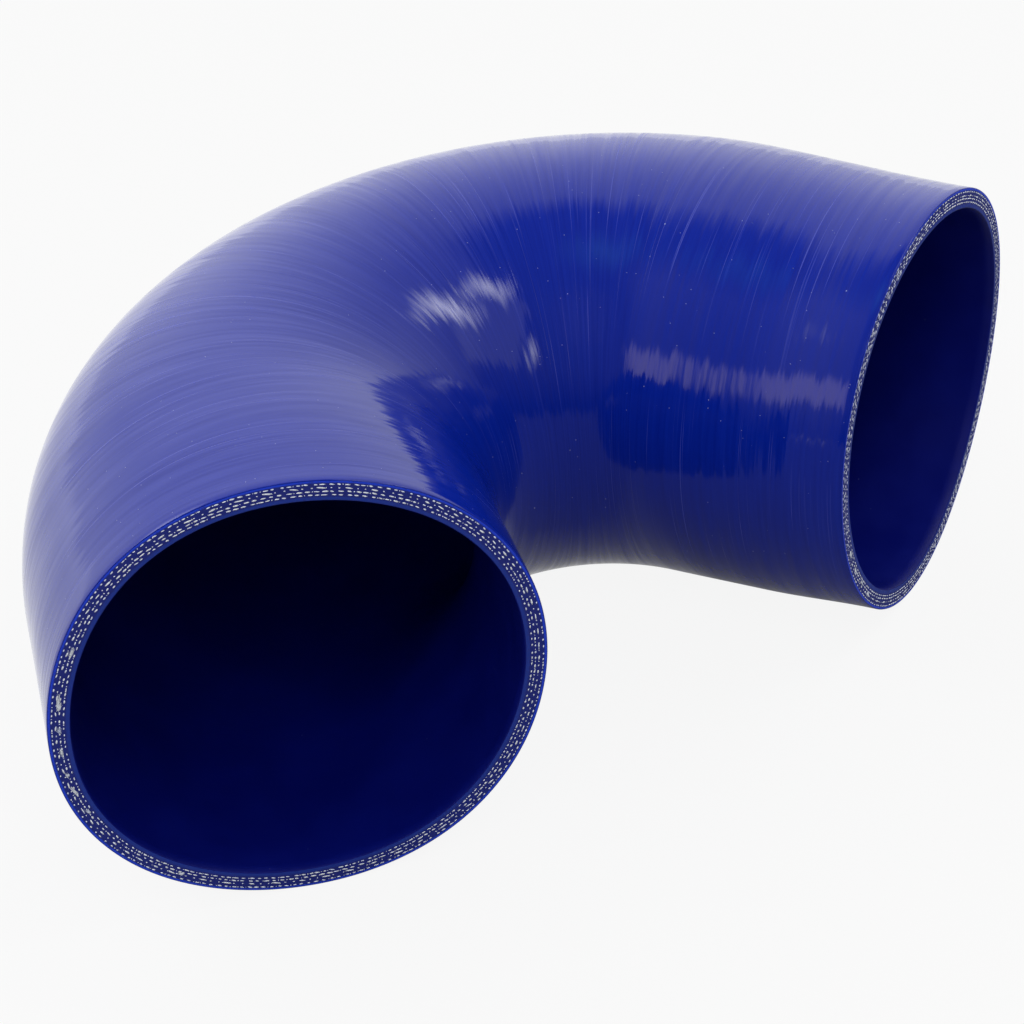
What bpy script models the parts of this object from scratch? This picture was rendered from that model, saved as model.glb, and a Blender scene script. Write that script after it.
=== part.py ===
# Silicone elbow hose lying on its side.
# Metres, +Z up. The bend lies in a level plane, the near opening faces -Y,
# and the origin is on the ground below the middle of the hose's box.
import bpy
from math import cos, pi, sin
from mathutils import Matrix, Vector

# Driving dimensions
BEND_OUTSIDE_DIAMETER = 0.1120
NEAR_END_OUTSIDE_DIAMETER = 0.1130
FAR_END_OUTSIDE_DIAMETER = 0.1100
WALL = 0.0052
BEND_RADIUS = 0.0790
BEND_ANGLE_DEG = 130.0
NEAR_LEG = 0.0455
FAR_LEG = 0.0600
CLAMP_SEAT = 0.0150
END_CHANGE = 0.0450

# Facets
SECTION_RESOLUTION = 30
BEND_STEPS = 26
LEG_STEPS = 3

bend_angle = BEND_ANGLE_DEG * pi / 180
bend_length = BEND_RADIUS * bend_angle
whole_length = NEAR_LEG + bend_length + FAR_LEG


def centreline(distance):
    """Level place of the centreline at a distance from the near end."""
    if distance <= NEAR_LEG:
        return Vector((-BEND_RADIUS, distance - NEAR_LEG, 0))
    turned = min((distance - NEAR_LEG) / BEND_RADIUS, bend_angle)
    on_arc = Vector((-cos(turned), sin(turned), 0)) * BEND_RADIUS
    past_arc = max(distance - NEAR_LEG - bend_length, 0)
    return on_arc + Vector((sin(turned), cos(turned), 0)) * past_arc


def eased(share):
    """A share from 0 to 1, with no slope at either limit."""
    share = min(max(share, 0), 1)
    return share * share * (3 - 2 * share)


def outside_radius(distance):
    """The section keeps one size along each clamp seat, then eases to the bend's size."""
    near = eased(1 - (distance - CLAMP_SEAT) / END_CHANGE)
    far = eased(1 - (whole_length - distance - CLAMP_SEAT) / END_CHANGE)
    diameter = BEND_OUTSIDE_DIAMETER
    diameter += (NEAR_END_OUTSIDE_DIAMETER - BEND_OUTSIDE_DIAMETER) * near
    diameter += (FAR_END_OUTSIDE_DIAMETER - BEND_OUTSIDE_DIAMETER) * far
    return diameter / 2


def evenly(start, end, steps):
    """Distances from start up to, but not including, end."""
    return [start + (end - start) * i / steps for i in range(steps)]


def stations():
    """Distances of the section rings. Each clamp seat is one straight step."""
    bend_start = NEAR_LEG
    bend_end = NEAR_LEG + bend_length
    near = [0] + evenly(CLAMP_SEAT, bend_start, LEG_STEPS)
    bend = evenly(bend_start, bend_end, BEND_STEPS)
    far = evenly(bend_end, whole_length - CLAMP_SEAT, LEG_STEPS)
    return near + bend + far + [whole_length - CLAMP_SEAT, whole_length]


def outer_surface(collection):
    """The mandrel's path as a bevelled curve, open at both ends, made a mesh.

    Each point stands its own radius above the ground, so the underside is flat.
    """
    distances = stations()
    curve = bpy.data.curves.new("hose_path", "CURVE")
    curve.dimensions = "3D"
    curve.twist_mode = "Z_UP"
    curve.bevel_depth = BEND_OUTSIDE_DIAMETER / 2
    curve.bevel_resolution = SECTION_RESOLUTION
    spline = curve.splines.new("POLY")
    spline.points.add(len(distances) - 1)
    for point, distance in zip(spline.points, distances):
        radius = outside_radius(distance)
        place = centreline(distance) + Vector((0, 0, radius))
        point.co = (*place, 1)
        point.radius = radius / curve.bevel_depth
    path = bpy.data.objects.new("hose_path", curve)
    collection.objects.link(path)
    evaluated = path.evaluated_get(bpy.context.evaluated_depsgraph_get())
    mesh = bpy.data.meshes.new_from_object(evaluated)
    bpy.data.objects.remove(path)
    return mesh


def stand_on_origin(mesh):
    """Move the mesh so that the middle of its box, seen from above, is over the origin."""
    xs = [vertex.co.x for vertex in mesh.vertices]
    ys = [vertex.co.y for vertex in mesh.vertices]
    lowest = min(vertex.co.z for vertex in mesh.vertices)
    middle = Vector(((min(xs) + max(xs)) / 2, (min(ys) + max(ys)) / 2, lowest))
    mesh.transform(Matrix.Translation(-middle))


def blue_silicone():
    """Glossy blue silicone rubber."""
    material = bpy.data.materials.new("blue_silicone")
    material.use_nodes = True
    shader = material.node_tree.nodes["Principled BSDF"]
    shader.inputs["Base Color"].default_value = (0.010, 0.028, 0.220, 1)
    shader.inputs["Roughness"].default_value = 0.30
    shader.inputs["Metallic"].default_value = 0
    return material


def elbow_hose(collection):
    """One moulded wall: the outer surface thickened inwards, with square-cut ends."""
    mesh = outer_surface(collection)
    stand_on_origin(mesh)
    mesh.materials.clear()
    mesh.materials.append(blue_silicone())
    mesh.shade_smooth()
    hose = bpy.data.objects.new("elbow_hose", mesh)
    collection.objects.link(hose)
    wall = hose.modifiers.new("wall", "SOLIDIFY")
    wall.thickness = WALL
    wall.offset = -1


for old in list(bpy.data.objects):
    bpy.data.objects.remove(old, do_unlink=True)
parts = bpy.data.collections.new("silicone_elbow_hose")
bpy.context.scene.collection.children.link(parts)
elbow_hose(parts)
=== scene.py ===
from math import atan2, cos, pi, radians, sin
from random import Random

import bmesh
import bpy
from mathutils import Matrix, Vector


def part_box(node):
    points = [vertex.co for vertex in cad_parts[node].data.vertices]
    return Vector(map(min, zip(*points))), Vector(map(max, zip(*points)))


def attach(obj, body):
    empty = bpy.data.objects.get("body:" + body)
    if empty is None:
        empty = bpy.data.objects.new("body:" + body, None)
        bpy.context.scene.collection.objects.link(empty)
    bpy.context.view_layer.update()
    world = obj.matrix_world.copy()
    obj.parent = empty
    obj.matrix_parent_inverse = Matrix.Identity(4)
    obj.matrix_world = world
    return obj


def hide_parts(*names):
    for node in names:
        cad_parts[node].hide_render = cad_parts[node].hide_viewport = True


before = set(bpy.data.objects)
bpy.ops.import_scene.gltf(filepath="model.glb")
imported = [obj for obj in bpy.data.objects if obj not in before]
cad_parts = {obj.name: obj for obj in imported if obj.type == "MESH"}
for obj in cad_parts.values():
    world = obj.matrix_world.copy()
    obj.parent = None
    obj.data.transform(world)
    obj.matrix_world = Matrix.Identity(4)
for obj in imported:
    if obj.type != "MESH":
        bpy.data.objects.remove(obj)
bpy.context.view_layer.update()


# Hose wall
# One thick tube of blue silicone rubber, wrapped over a bent mandrel with four fabric plies and cured.
# Its skin is glossy with fine marks that run round the tube. Both ends are cut by hand, a little off
# square. Sizes are in metres.
wall = 0.0052
bend_radius = 0.0790
bend_angle = radians(130)
near_leg = 0.0442
far_leg = 0.0562
bend_outer_radius = 0.0560
near_outer_radius = 0.0562
far_outer_radius = 0.0550
clamp_seat = 0.0150
end_change = 0.0450
near_drop = 0.00060
cut_reach = 0.030
rounded_edge = 0.00022

bend_length = bend_radius * bend_angle
hose_length = near_leg + bend_length + far_leg
box_low, box_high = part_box("elbow_hose")
near_box_radius = 0.0565
near_axis_x = box_low.x + near_box_radius
back_axis_y = box_high.y - bend_outer_radius
bend_centre = Vector((near_axis_x + bend_radius, back_axis_y - bend_radius, 0))

# How far the two ends are out of round, as shares of the radius
near_swell = 0.0052
near_level_oval = 0.0059
near_slant_oval = -0.0054
near_level_lobes = -0.0058
near_slant_lobes = -0.0063
near_three_lobes = -0.0049
far_slant_oval = -0.0204

# How far each cut leans to the side, leans upwards, bows and twists, in metres at the rim
near_cut = (-0.00007, -0.00070, 0.00035, 0.00060)
far_cut = (0.00152, 0.00141, -0.00051, 0.00181)


def eased(share):
    share = min(max(share, 0), 1)
    return share * share * (3 - 2 * share)


def path_point(along):
    """The level place, forward direction and outward direction of the centreline."""
    turned = min(max(along - near_leg, 0) / bend_radius, bend_angle)
    outward = Vector((-cos(turned), sin(turned), 0))
    forward = Vector((sin(turned), cos(turned), 0))
    straight = min(along - near_leg, 0) + max(along - near_leg - bend_length, 0)
    return bend_centre + outward * bend_radius + forward * straight, forward, outward


def outer_radius(along):
    near = eased(1 - (along - clamp_seat) / end_change)
    far = eased(1 - (hose_length - along - clamp_seat) / end_change)
    radius = bend_outer_radius + (near_outer_radius - bend_outer_radius) * near
    return radius + (far_outer_radius - bend_outer_radius) * far


def cut_shift(cut, x, z):
    """How far a cut stands forward, at a level and an upright share of the radius."""
    side_lean, up_lean, bow, twist = cut
    return side_lean * x + up_lean * z + bow * (x * x - z * z) + twist * x * z


def hose_point(along, around, depth):
    """A point of the wall. Depth is 0 on the cover and 1 on the liner. Around is 90 degrees at the top."""
    place, forward, outward = path_point(along)
    full = outer_radius(along)
    near = eased(1 - along / cut_reach)
    far = eased(1 - (hose_length - along) / cut_reach)
    near_oval = near_swell + near_level_oval * cos(2 * around) + near_slant_oval * sin(2 * around)
    near_lobes = near_level_lobes * cos(4 * around) + near_slant_lobes * sin(4 * around)
    near_lobes += near_three_lobes * sin(3 * around)
    far_oval = far_slant_oval * sin(2 * around)
    radius = full * (1 + (near_oval + near_lobes) * near + far_oval * far) - wall * depth
    x = cos(around)
    z = sin(around)
    shift = cut_shift(near_cut, x, z) * near + cut_shift(far_cut, x, z) * far
    height = full + radius * z - near_drop * near
    return place + outward * radius * x + forward * shift + Vector((0, 0, max(height, 0)))


def evenly(start, end, steps):
    """Steps from just after start up to end."""
    return [start + (end - start) * i / steps for i in range(1, steps + 1)]


# The wall's own section as a loop of places, each a distance along the hose and a depth:
# the near cut outwards, the cover, the far cut inwards and the liner back
around_steps = 256
cut_steps = 12
cover_steps = 150
liner_steps = 96
round_middle = 0.3
face_depths = evenly(0, 1, cut_steps)[:-1]
rounded_depth = rounded_edge / wall
middle_along = rounded_edge * round_middle
middle_depth = rounded_depth * round_middle
cover_runs = evenly(rounded_edge, hose_length - rounded_edge, cover_steps)
liner_runs = evenly(hose_length - rounded_edge, rounded_edge, liner_steps)
loop = [(0, depth) for depth in reversed(face_depths)]
loop += [(0, rounded_depth), (middle_along, middle_depth), (rounded_edge, 0)]
loop += [(along, 0) for along in cover_runs]
loop += [(hose_length - middle_along, middle_depth), (hose_length, rounded_depth)]
loop += [(hose_length, depth) for depth in face_depths]
loop += [(hose_length, 1 - rounded_depth), (hose_length - rounded_edge, 1)]
loop += [(along, 1) for along in liner_runs]
loop += [(0, 1 - rounded_depth)]

wall_mesh = bmesh.new()
along_layer = wall_mesh.verts.layers.float.new("along")
depth_layer = wall_mesh.verts.layers.float.new("depth")
ring_layer = wall_mesh.verts.layers.float_vector.new("ring")
forward_layer = wall_mesh.verts.layers.float_vector.new("forward")
ring = bmesh.ops.create_circle(wall_mesh, segments=around_steps, radius=1)["verts"]
angles = {v: atan2(v.co.y, v.co.x) for v in ring}
first_edges = list(wall_mesh.edges)
edges = first_edges


def set_ring(angles, along, depth):
    """Puts one ring of vertices in its place and writes there what the materials read."""
    forward = path_point(along)[1]
    for vertex, around in angles.items():
        vertex[forward_layer] = forward
        vertex.co = hose_point(along, around, depth)
        vertex[along_layer] = along
        vertex[depth_layer] = depth
        vertex[ring_layer] = Vector((cos(around), sin(around), along))


set_ring(angles, *loop[0])
for along, depth in loop[1:]:
    grown = bmesh.ops.extrude_edge_only(wall_mesh, edges=edges)["geom"]
    new_verts = {g for g in grown if isinstance(g, bmesh.types.BMVert)}
    new_edges = [g for g in grown if isinstance(g, bmesh.types.BMEdge)]
    edges = [edge for edge in new_edges if new_verts.issuperset(edge.verts)]
    carried = {}
    for vertex in new_verts:
        for edge in vertex.link_edges:
            other = edge.other_vert(vertex)
            if other in angles:
                carried[vertex] = angles[other]
    angles = carried
    set_ring(angles, along, depth)
bmesh.ops.bridge_loops(wall_mesh, edges=edges + first_edges)
bmesh.ops.recalc_face_normals(wall_mesh, faces=wall_mesh.faces)
cover_slot, cut_slot, liner_slot = range(3)
cover_limit = rounded_depth * 1.01
for face in wall_mesh.faces:
    face.smooth = True
    depths = [v[depth_layer] for v in face.verts]
    if max(depths) < cover_limit:
        face.material_index = cover_slot
    elif min(depths) > 1 - cover_limit:
        face.material_index = liner_slot
    else:
        face.material_index = cut_slot
hose_data = bpy.data.meshes.new("silicone_wall")
wall_mesh.to_mesh(hose_data)
wall_mesh.free()
hose = bpy.data.objects.new("silicone_wall", hose_data)
bpy.context.scene.collection.objects.link(hose)


class Recipe:
    """The node tree of a material, a lamp or the world, with short ways to add and join nodes."""

    def __init__(self, owner, shader="Principled BSDF"):
        self.owner = owner
        owner.use_nodes = True
        self.tree = owner.node_tree
        self.shader = self.tree.nodes[shader]

    def node(self, kind, inputs=None, **settings):
        """A node with its settings, and its inputs by name or number, joined or set."""
        made = self.tree.nodes.new(kind)
        for name, value in settings.items():
            setattr(made, name, value)
        for name, value in (inputs or {}).items():
            if isinstance(value, bpy.types.NodeSocket):
                self.tree.links.new(value, made.inputs[name])
            else:
                made.inputs[name].default_value = value
        return made

    def attribute(self, name):
        return self.node("ShaderNodeAttribute", attribute_name=name)

    def noise(self, vector, scale, detail=2.0, roughness=0.5):
        inputs = {"Vector": vector, "Scale": scale, "Detail": detail, "Roughness": roughness}
        return self.node("ShaderNodeTexNoise", inputs).outputs["Fac"]

    def stretched(self, vector, scale):
        return self.node("ShaderNodeMapping", {"Vector": vector, "Scale": scale}).outputs["Vector"]

    def between(self, value, low, high, out_low=0.0, out_high=1.0):
        """A value's place between two limits, held inside them."""
        inputs = {"Value": value, "From Min": low, "From Max": high, "To Min": out_low, "To Max": out_high}
        return self.node("ShaderNodeMapRange", inputs).outputs["Result"]

    def maths(self, operation, a, b=0):
        made = self.node("ShaderNodeMath", operation=operation)
        for socket, value in zip(made.inputs, (a, b)):
            if isinstance(value, bpy.types.NodeSocket):
                self.tree.links.new(value, socket)
            else:
                socket.default_value = value
        return made.outputs["Value"]

    def vector(self, operation, a, b=None, scale=None):
        made = self.node("ShaderNodeVectorMath", operation=operation)
        for socket, value in zip(made.inputs, (a, b)):
            if value is not None:
                self.tree.links.new(value, socket)
        if scale is not None:
            self.tree.links.new(scale, made.inputs["Scale"])
        return made.outputs["Vector"]

    def component(self, vector, direction):
        """How far a vector reaches in a fixed direction."""
        made = self.node("ShaderNodeVectorMath", {0: vector, 1: direction}, operation="DOT_PRODUCT")
        return made.outputs["Value"]

    def dots(self, vector, scale, size, share):
        """Round dots of one size, in a share of the cells."""
        cells = self.node("ShaderNodeTexVoronoi", {"Vector": vector, "Scale": scale})
        chance = self.node("ShaderNodeSeparateColor", {"Color": cells.outputs["Color"]}).outputs["Red"]
        near = self.between(cells.outputs["Distance"], size, size * 0.5)
        return self.maths("MULTIPLY", near, self.maths("LESS_THAN", chance, share))

    def blend(self, share, a, b):
        made = self.node("ShaderNodeMix", data_type="RGBA")
        for socket, value in zip((made.inputs[0], made.inputs[6], made.inputs[7]), (share, a, b)):
            if isinstance(value, bpy.types.NodeSocket):
                self.tree.links.new(value, socket)
            else:
                socket.default_value = value
        return made.outputs[2]

    def bump(self, height, distance, normal=None):
        inputs = {"Height": height, "Distance": distance}
        if normal is not None:
            inputs["Normal"] = normal
        return self.node("ShaderNodeBump", inputs).outputs["Normal"]

    def wire(self, **sockets):
        """Joins or sets the shader's own sockets."""
        for name, value in sockets.items():
            socket = self.shader.inputs[name.replace("_", " ")]
            if isinstance(value, bpy.types.NodeSocket):
                self.tree.links.new(value, socket)
            else:
                socket.default_value = value


def cover_skin():
    """Glossy cover. Each narrow band that the wrapping tape left leans a little on its own, so that
    reflections fray into combs along the bands. Streaks are painted a little lighter, partly their own tone
    and partly a painted reflection. Thin light scratches run round the tube, painted lighter as a painted
    highlight, and specks of dust lie on it."""
    deep_blue = (0.0012, 0.0115, 0.240, 1)
    # The lighter blue of the streaks is partly the cover's own tone and partly a painted reflection
    light_blue = (0.0020, 0.0155, 0.285, 1)
    # Colour of the thin scratch lines, lighter than the cover: partly real scratches, partly a painted
    # highlight
    scratch_and_highlight_blue = (0.09, 0.11, 0.52, 1)
    dust_grey = (0.45, 0.50, 0.72, 1)
    # Grain round the ring, round the ring, and in marks per metre along the hose
    band_grain = (1.0, 1.0, 520)
    streak_grain = (1.8, 1.8, 1000)
    ripple_grain = (1.3, 1.3, 60)
    hair_grain = (0.7, 0.7, 2600)
    patch_grain = (1.5, 1.5, 18)
    band_lean = 0.062
    streak_lean = 0.040
    ripple_height = 0.00014
    scratch_height = 0.000006
    dust_height = 0.00003
    r = Recipe(bpy.data.materials.new("blue_silicone_cover"))
    place = r.attribute("ring").outputs["Vector"]
    forward = r.attribute("forward").outputs["Vector"]
    grain = r.node("ShaderNodeTexCoord").outputs["Object"]
    upright = r.node("ShaderNodeNewGeometry").outputs["Normal"]
    rounds = r.vector("CROSS_PRODUCT", upright, forward)
    band = r.noise(r.stretched(place, band_grain), 1.0, 5.0, 0.72)
    streak = r.noise(r.stretched(place, streak_grain), 1.0, 3.0, 0.6)
    ripple = r.noise(r.stretched(place, ripple_grain), 1.0, 2.0)
    hair = r.noise(r.stretched(place, hair_grain), 1.0, 2.0)
    patch = r.noise(r.stretched(place, patch_grain), 1.0, 2.0)
    # Thin scratch lines round the tube, in patches: real scratches that are also painted lighter as a
    # painted highlight
    scratch_and_highlight_lines = r.maths("MULTIPLY", r.between(hair, 0.635, 0.71), r.between(patch, 0.38, 0.58))
    dust = r.maths("MAXIMUM", r.dots(grain, 480.0, 0.055, 0.45), r.dots(grain, 120.0, 0.022, 0.30))
    # Streaks painted a little lighter: partly their own tone, partly a painted reflection
    colour = r.blend(r.between(streak, 0.3, 0.7), deep_blue, light_blue)
    # The scratch lines are painted lighter: a painted highlight on real scratches
    colour = r.blend(r.maths("MULTIPLY", scratch_and_highlight_lines, 0.38), colour, scratch_and_highlight_blue)
    colour = r.blend(r.maths("MULTIPLY", dust, 0.75), colour, dust_grey)
    lean = r.vector("SCALE", rounds, scale=r.between(band, 0.25, 0.75, -band_lean, band_lean))
    pitch = r.vector("SCALE", forward, scale=r.between(streak, 0.25, 0.75, -streak_lean, streak_lean))
    leaning = r.vector("NORMALIZE", r.vector("ADD", upright, r.vector("ADD", lean, pitch)))
    normal = r.bump(ripple, ripple_height, leaning)
    normal = r.bump(scratch_and_highlight_lines, scratch_height, normal)
    normal = r.bump(dust, dust_height, normal)
    gloss = r.between(streak, 0.25, 0.75, 0.05, 0.13)
    gloss = r.maths("ADD", gloss, r.maths("MULTIPLY", r.maths("MAXIMUM", scratch_and_highlight_lines, dust), 0.25))
    r.wire(Base_Color=colour, Roughness=gloss, Normal=normal, IOR=1.43)
    return r.owner


def cut_rubber():
    """Cut wall: bright cover, violet rubber between the plies, and a paler liner, with knife marks."""
    cover_blue = (0.006, 0.048, 0.68, 1)
    ply_violet = (0.009, 0.019, 0.22, 1)
    liner_blue = (0.008, 0.034, 0.31, 1)
    torn_violet = (0.020, 0.028, 0.22, 1)
    knife_height = 0.00006
    ragged_height = 0.00008
    r = Recipe(bpy.data.materials.new("blue_silicone_cut"))
    depth = r.attribute("depth").outputs["Fac"]
    grain = r.node("ShaderNodeTexCoord").outputs["Object"]
    ragged = r.noise(grain, 900.0, 2.0)
    wander = r.maths("ADD", depth, r.maths("MULTIPLY", r.maths("SUBTRACT", ragged, 0.5), 0.05))
    colour = r.blend(r.between(wander, 0.11, 0.16), cover_blue, ply_violet)
    colour = r.blend(r.between(wander, 0.78, 0.82), colour, liner_blue)
    colour = r.blend(r.between(r.noise(grain, 2400.0, 2.0), 0.55, 0.75), colour, torn_violet)
    knife = r.noise(r.stretched(grain, (900, 200, 900)), 1.0, 3.0)
    normal = r.bump(knife, knife_height)
    normal = r.bump(ragged, ragged_height, normal)
    r.wire(Base_Color=colour, Roughness=r.between(ragged, 0.3, 0.7, 0.40, 0.60), Normal=normal, IOR=1.38)
    return r.owner


def liner_skin():
    """Smooth dark liner, taken from the mandrel, with faint smudges and specks of release powder."""
    dark_blue = (0.0007, 0.0036, 0.135, 1)
    smudge_blue = (0.0013, 0.0055, 0.172, 1)
    powder_grey = (0.20, 0.20, 0.30, 1)
    streak_height = 0.00004
    grain_height = 0.00001
    r = Recipe(bpy.data.materials.new("blue_silicone_liner"))
    place = r.attribute("ring").outputs["Vector"]
    grain = r.node("ShaderNodeTexCoord").outputs["Object"]
    smudge = r.noise(grain, 55.0, 5.0, 0.6)
    streak = r.noise(r.stretched(place, (1.2, 1.2, 220)), 1.0, 3.0)
    powder = r.maths("MAXIMUM", r.dots(grain, 300.0, 0.07, 0.08), r.dots(grain, 70.0, 0.05, 0.10))
    colour = r.blend(r.between(smudge, 0.35, 0.7), dark_blue, smudge_blue)
    colour = r.blend(r.maths("MULTIPLY", powder, 0.30), colour, powder_grey)
    normal = r.bump(streak, streak_height)
    normal = r.bump(r.noise(grain, 700.0, 2.0), grain_height, normal)
    r.wire(Base_Color=colour, Roughness=r.between(smudge, 0.3, 0.7, 0.38, 0.55), Normal=normal, IOR=1.25)
    return r.owner


for skin in (cover_skin(), cut_rubber(), liner_skin()):
    hose_data.materials.append(skin)
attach(hose, "root")
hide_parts("elbow_hose")


# Thread ends on the cuts
# Four woven polyester plies end at each cut. Threads that run round the tube show as white dashes,
# and the ends of those that run along it as dots between them.
thread_dice = Random(41)
proud = 0.00007
skipped_length = 0.00022
skipped_height = 0.00015
plies = (
    {"depth": 0.20, "pitch": 0.00180, "length": 0.00058, "height": 0.00019, "skip": 1},
    {"depth": 0.38, "pitch": 0.00198, "length": 0.00112, "height": 0.00022, "skip": 2},
    {"depth": 0.54, "pitch": 0.00188, "length": 0.00072, "height": 0.00021, "skip": 1},
    {"depth": 0.70, "pitch": 0.00176, "length": 0.00063, "height": 0.00019, "skip": 1},
)


def on_cut(along, around, depth):
    """A cut's point, with the directions round the ring, outwards from the axis and out of the cut."""
    turn = 0.01
    step = 0.05
    point = hose_point(along, around, depth)
    rounds = hose_point(along, around + turn, depth) - hose_point(along, around - turn, depth)
    rounds.normalize()
    spokes = hose_point(along, around, depth - step) - hose_point(along, around, depth + step)
    spokes.normalize()
    outwards = rounds.cross(spokes)
    facing = path_point(along)[1] * (-1 if along == 0 else 1)
    return point, rounds, spokes, outwards if outwards.dot(facing) > 0 else -outwards


def add_thread(mesh, along, around, depth, length, height, tilt):
    """One flattened bead of yarn, half sunk in the cut."""
    point, rounds, spokes, outwards = on_cut(along, around, depth)
    lie = rounds * cos(tilt) + spokes * sin(tilt)
    rise = spokes * cos(tilt) - rounds * sin(tilt)
    basis = Matrix((lie * length, rise * height, outwards * proud)).transposed().to_4x4()
    matrix = Matrix.Translation(point) @ basis
    bmesh.ops.create_icosphere(mesh, subdivisions=1, radius=1, matrix=matrix)


def thread_ends(name, along, material):
    """Four rows of dashes and dots. Where the weave runs askew to the cut, the dashes are shorter."""
    mesh = bmesh.new()
    for ply in plies:
        radius = outer_radius(along) - wall * ply["depth"]
        count = round(2 * pi * radius / ply["pitch"])
        phase = thread_dice.uniform(0, 2 * pi)
        for i in range(count):
            around = 2 * pi * (i + thread_dice.uniform(-0.16, 0.16)) / count
            cross = 0.55 + 0.45 * abs(sin(around + 0.3 * sin(2 * around + phase)))
            depth = ply["depth"] + 0.010 * sin(3 * around + phase) + thread_dice.uniform(-0.007, 0.007)
            tilt = thread_dice.gauss(-0.06, 0.08)
            near_top_or_bottom = abs(sin(around)) > 0.8
            every = ply["skip"] + near_top_or_bottom
            long_dash = ply["skip"] == 1 or i % every == 0
            length = ply["length"] * cross * thread_dice.uniform(0.7, 1.3)
            height = ply["height"] * thread_dice.uniform(0.75, 1.15)
            if not long_dash:
                length = skipped_length * thread_dice.uniform(0.8, 1.4)
                height = skipped_height
            add_thread(mesh, along, around, depth, length, height, tilt)
            if long_dash and thread_dice.random() < 0.45:
                dot = around + pi / count * thread_dice.uniform(0.85, 1.15)
                size = thread_dice.uniform(0.00011, 0.00018)
                add_thread(mesh, along, dot, depth, size, size, 0)
    for face in mesh.faces:
        face.smooth = True
    data = bpy.data.meshes.new(name)
    mesh.to_mesh(data)
    mesh.free()
    data.materials.append(material)
    threads = bpy.data.objects.new(name, data)
    bpy.context.scene.collection.objects.link(threads)
    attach(threads, "root")


def thread_white():
    """White polyester yarn, slightly blue from the rubber round it, with single fibres."""
    yarn_white = (0.90, 0.94, 1.00, 1)
    stained_blue = (0.62, 0.70, 0.95, 1)
    fibre_height = 0.00004
    r = Recipe(bpy.data.materials.new("polyester_thread"))
    grain = r.node("ShaderNodeTexCoord").outputs["Object"]
    fibres = r.noise(grain, 5200.0, 2.0)
    stain = r.noise(grain, 420.0, 2.0)
    colour = r.blend(r.between(stain, 0.50, 0.80), yarn_white, stained_blue)
    rough = r.between(fibres, 0.3, 0.7, 0.6, 0.8)
    r.wire(Base_Color=colour, Roughness=rough, Normal=r.bump(fibres, fibre_height))
    return r.owner


white_thread = thread_white()
thread_ends("near_thread_ends", 0, white_thread)
thread_ends("far_thread_ends", hose_length, white_thread)


# Frayed threads
# Where the blade pulled the weave instead of cutting it, tufts of loose white fibre lie on the cut.
# Most are on the outer side of the near end, and a few are low on the inner side of the far end.
fray_dice = Random(7)
# Each tuft has its angle round the ring in degrees, its depth, its reach and its spread in radians.
near_tufts = (
    (25.5, 0.52, 0.0013, 0.10),
    (11.5, 0.44, 0.0020, 0.06),
    (10.0, 0.50, 0.0012, 0.25),
    (3.3, 0.50, 0.0007, 0.60),
    (-3.0, 0.50, 0.0009, 0.20),
    (-10.0, 0.47, 0.0006, 0.30),
    (-15.0, 0.50, 0.0015, 0.12),
    (-22.0, 0.55, 0.0008, 0.50),
    (-53.0, 0.48, 0.0008, 0.50),
)
far_tufts = (
    (197.0, 0.48, 0.0010, 0.30),
    (205.0, 0.45, 0.0012, 0.25),
    (213.0, 0.52, 0.0010, 0.40),
    (221.0, 0.42, 0.0009, 0.50),
)
fibre_radius = 0.000035
fibres_each = 30
fibre_steps = 5
tuft_width = 0.0035
tuft_depth = 0.026


def frayed_threads(name, along, tufts):
    """Each tuft is a combed bundle of fine fibres that starts at one thread end and spreads a little."""
    curve = bpy.data.curves.new(name, "CURVE")
    curve.dimensions = "3D"
    curve.bevel_depth = fibre_radius
    curve.bevel_resolution = 0
    for around_degrees, depth, reach, spread in tufts:
        around = radians(around_degrees)
        comb = fray_dice.gauss(0, 0.15)
        for _ in range(fibres_each):
            fibre_around = around + fray_dice.gauss(0, tuft_width)
            fibre_depth = depth + fray_dice.gauss(0, tuft_depth)
            start, rounds, spokes, outwards = on_cut(along, fibre_around, fibre_depth)
            swing = comb + fray_dice.gauss(0, spread)
            lie = rounds * cos(swing) + spokes * sin(swing)
            length = reach * fray_dice.uniform(0.7, 2.0)
            bow = spokes * fray_dice.gauss(0, 0.00012)
            lift = outwards * fray_dice.uniform(0.00006, 0.00020)
            spline = curve.splines.new("POLY")
            spline.points.add(fibre_steps)
            for i, point in enumerate(spline.points):
                share = i / fibre_steps
                middle = start + lie * length * (share - 0.4) + (bow + lift) * sin(pi * share)
                point.co = (*(middle + outwards * fibre_radius), 1)
                point.radius = 1 - 0.6 * share
    source = bpy.data.objects.new(name + "_curve", curve)
    bpy.context.scene.collection.objects.link(source)
    evaluated = source.evaluated_get(bpy.context.evaluated_depsgraph_get())
    data = bpy.data.meshes.new_from_object(evaluated)
    bpy.data.objects.remove(source)
    data.name = name
    data.materials.clear()
    data.materials.append(white_thread)
    tuft = bpy.data.objects.new(name, data)
    bpy.context.scene.collection.objects.link(tuft)
    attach(tuft, "root")


frayed_threads("near_frayed_threads", 0, near_tufts)
frayed_threads("far_frayed_threads", hose_length, far_tufts)


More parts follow.
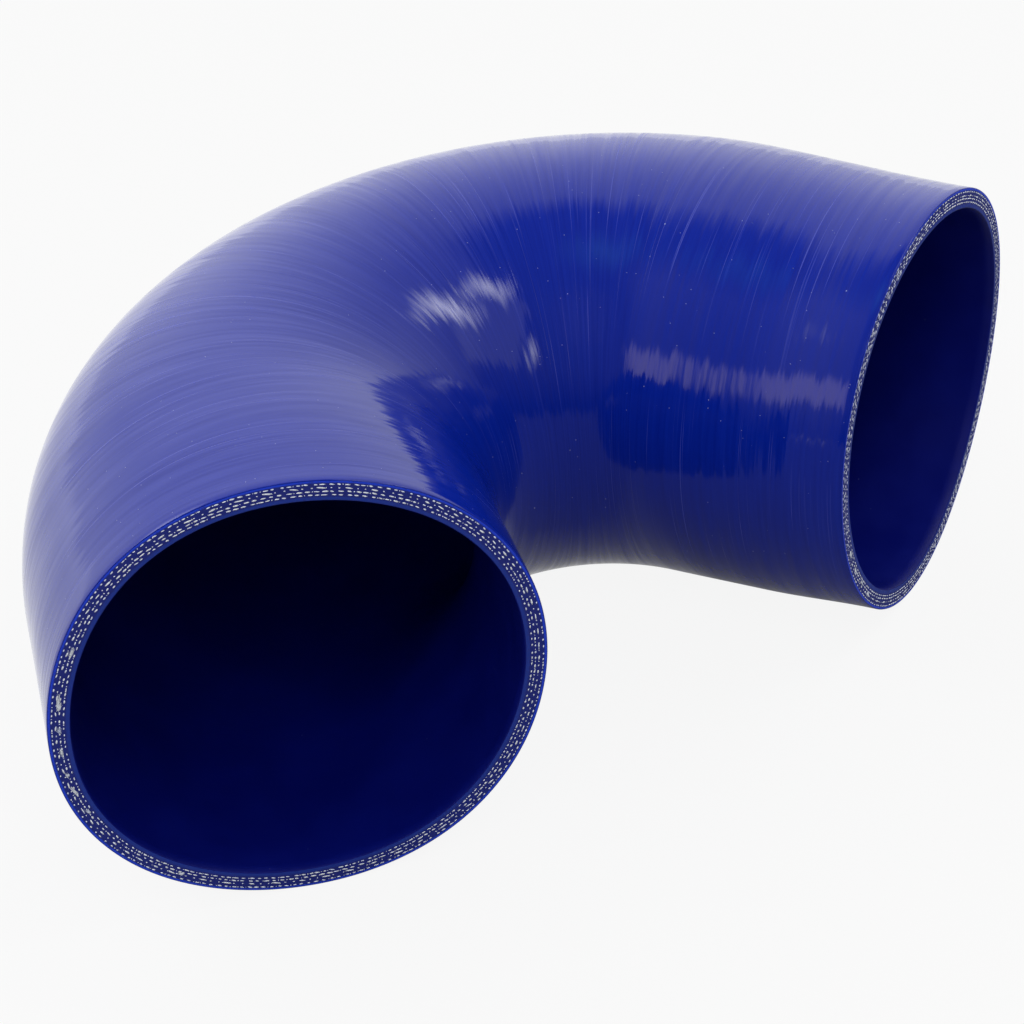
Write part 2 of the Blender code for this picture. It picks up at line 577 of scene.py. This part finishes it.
# Floor
# A plain pale sheet under the hose. The camera sees it almost white, with a faint shadow of the hose left.
# Reflections see a sheet that brightens from the front right to the back left, as in the photograph.
floor_half_width = 2.5
floor_drop = 0.0001
floor_grey = (0.46, 0.46, 0.46, 1)
white_share = 0.90
to_the_back = (-0.52, 0.854, 0)
floor_mesh = bmesh.new()
bmesh.ops.create_grid(floor_mesh, x_segments=1, y_segments=1, size=floor_half_width)
floor_data = bpy.data.meshes.new("floor")
floor_mesh.to_mesh(floor_data)
floor_mesh.free()
floor = bpy.data.objects.new("floor", floor_data)
floor.location.z = -floor_drop
bpy.context.scene.collection.objects.link(floor)
floor_paint = Recipe(bpy.data.materials.new("white_floor"))
rays = floor_paint.node("ShaderNodeLightPath")
floor_paint.wire(Base_Color=floor_grey, Roughness=0.9)
spot = floor_paint.node("ShaderNodeTexCoord").outputs["Object"]
backward = floor_paint.component(spot, to_the_back)
# Painted shadow: reflections see the floor dim just behind and under the hose, standing in for the hose's
# shadow
painted_hose_shadow = floor_paint.between(backward, -0.03, 0.06, 0.20, 1.0)
# Painted light: reflections see the floor glowing brighter further towards the back
painted_back_light = floor_paint.between(backward, 0.15, 0.90, 0.0, 0.40)
# What reflections see of the floor: the painted shadow and the painted light together
mirrored = floor_paint.maths("ADD", painted_hose_shadow, painted_back_light)
seen = floor_paint.maths("MULTIPLY", rays.outputs["Is Camera Ray"], white_share)
share = floor_paint.maths("MAXIMUM", seen, rays.outputs["Is Glossy Ray"])
strength = floor_paint.between(rays.outputs["Is Camera Ray"], 0.0, 1.0, mirrored, 1.0)
glow = floor_paint.node("ShaderNodeEmission", {"Strength": strength})
mixed = floor_paint.node("ShaderNodeMixShader", {"Fac": share})
floor_paint.tree.links.new(floor_paint.shader.outputs[0], mixed.inputs[1])
floor_paint.tree.links.new(glow.outputs[0], mixed.inputs[2])
output = floor_paint.tree.nodes["Material Output"]
floor_paint.tree.links.new(mixed.outputs[0], output.inputs["Surface"])
floor_data.materials.append(floor_paint.owner)


# Light
# A dim room with a bright wall at the back left and a paler one high at the back right, a faint blue
# ceiling, soft boxes on both sides, three small lamps on the right, and a fill in front that reflections
# don't show. Angles are in degrees: azimuth from +Y towards +X, elevation from the floor.
left_wall_way = (-0.6, 0.8, 0)
right_wall_way = (0.55, 0.65, 0.52)
hose_middle = Vector((0, 0, 0.06))
world = bpy.data.worlds.new("dim_room")
bpy.context.scene.world = world
room = Recipe(world, "Background")
way = room.node("ShaderNodeTexCoord").outputs["Generated"]
left_wall = room.between(room.component(way, left_wall_way), 0.0, 1.0, 0.0, 1.20)
right_wall = room.between(room.component(way, right_wall_way), 0.5, 0.95, 0.0, 0.72)
walls = room.maths("ADD", left_wall, right_wall)
height = room.component(way, (0, 0, 1))
walls = room.maths("MULTIPLY", walls, room.between(height, 0.95, 0.88))
walls = room.maths("ADD", walls, room.between(height, 0.02, 0.35, 0.03, 0.20))
white = room.node("ShaderNodeLightPath").outputs["Is Camera Ray"]
room.wire(Color=(1, 1, 1, 1), Strength=room.maths("MAXIMUM", walls, white))


def soft_box(name, azimuth, elevation, distance, width, height, radiance, soft_edge=0.5):
    """An area lamp of a stated brightness, turned to the hose, that fades out towards its edge."""
    turned = radians(azimuth)
    raised = radians(elevation)
    towards = Vector((sin(turned) * cos(raised), cos(turned) * cos(raised), sin(raised)))
    lamp = bpy.data.lights.new(name, "AREA")
    lamp.shape = "RECTANGLE"
    lamp.size = width
    lamp.size_y = height
    lamp.energy = radiance * pi * width * height
    sheet = Recipe(lamp, "Emission")
    place = sheet.node("ShaderNodeNewGeometry").outputs["Parametric"]
    across = sheet.maths("ABSOLUTE", sheet.maths("SUBTRACT", sheet.component(place, (1, 0, 0)), 0.5))
    upward = sheet.maths("ABSOLUTE", sheet.maths("SUBTRACT", sheet.component(place, (0, 1, 0)), 0.5))
    inner = 0.5 - 0.5 * soft_edge
    fade = sheet.maths("MULTIPLY", sheet.between(across, 0.5, inner), sheet.between(upward, 0.5, inner))
    sheet.wire(Strength=fade)
    fixture = bpy.data.objects.new(name, lamp)
    bpy.context.scene.collection.objects.link(fixture)
    fixture.location = towards * distance + hose_middle
    fixture.rotation_euler = towards.to_track_quat("Z", "Y").to_euler()
    return fixture


ceiling = soft_box("blue_ceiling", -116, 81, 1.2, 0.55, 0.50, 0.8, 0.9)
ceiling.data.color = (0.15, 0.60, 1.0)
soft_box("left_box", -68, 45, 1.2, 1.1, 0.62, 3.5)
strip = soft_box("left_strip", -118, 24, 1.2, 0.50, 0.36, 1.5)
strip.data.color = (1.0, 0.84, 0.93)
soft_box("right_wide_box", 118, 41, 1.3, 1.0, 0.85, 0.55, 0.15)
soft_box("right_lamp_1", 90, 47, 1.1, 0.72, 0.24, 9.0, 0.9)
soft_box("right_lamp_2", 113, 60, 1.1, 0.50, 0.22, 8.0, 0.9)
soft_box("right_lamp_3", 151, 30, 1.1, 0.22, 0.34, 6.0, 0.9)
front_fill = soft_box("front_fill", 195, 48, 1.6, 1.2, 1.0, 4.0)
front_fill.visible_glossy = False


# Camera
# At the photograph's place: above the near end, looking down along the near leg. Its angles are in radians.
camera_place = bend_centre + Vector((-0.13355, -0.55482, 0.44155))
camera_yaw = -0.2031
camera_pitch = -0.5898
camera_roll = -0.0788
camera_data = bpy.data.cameras.new("camera")
camera_data.lens = 101.49
camera_data.sensor_width = 36
camera = bpy.data.objects.new("camera", camera_data)
bpy.context.scene.collection.objects.link(camera)
looking = Vector((
    -sin(camera_yaw) * cos(camera_pitch),
    cos(camera_yaw) * cos(camera_pitch),
    sin(camera_pitch),
))
level = Vector((cos(camera_yaw), sin(camera_yaw), 0))
upright = level.cross(looking)
right = level * cos(camera_roll) + upright * sin(camera_roll)
up = upright * cos(camera_roll) - level * sin(camera_roll)
turned = Matrix((right, up, -looking)).transposed().to_4x4()
camera.matrix_world = Matrix.Translation(camera_place) @ turned
bpy.context.scene.camera = camera
bpy.context.scene.view_settings.view_transform = "Standard"
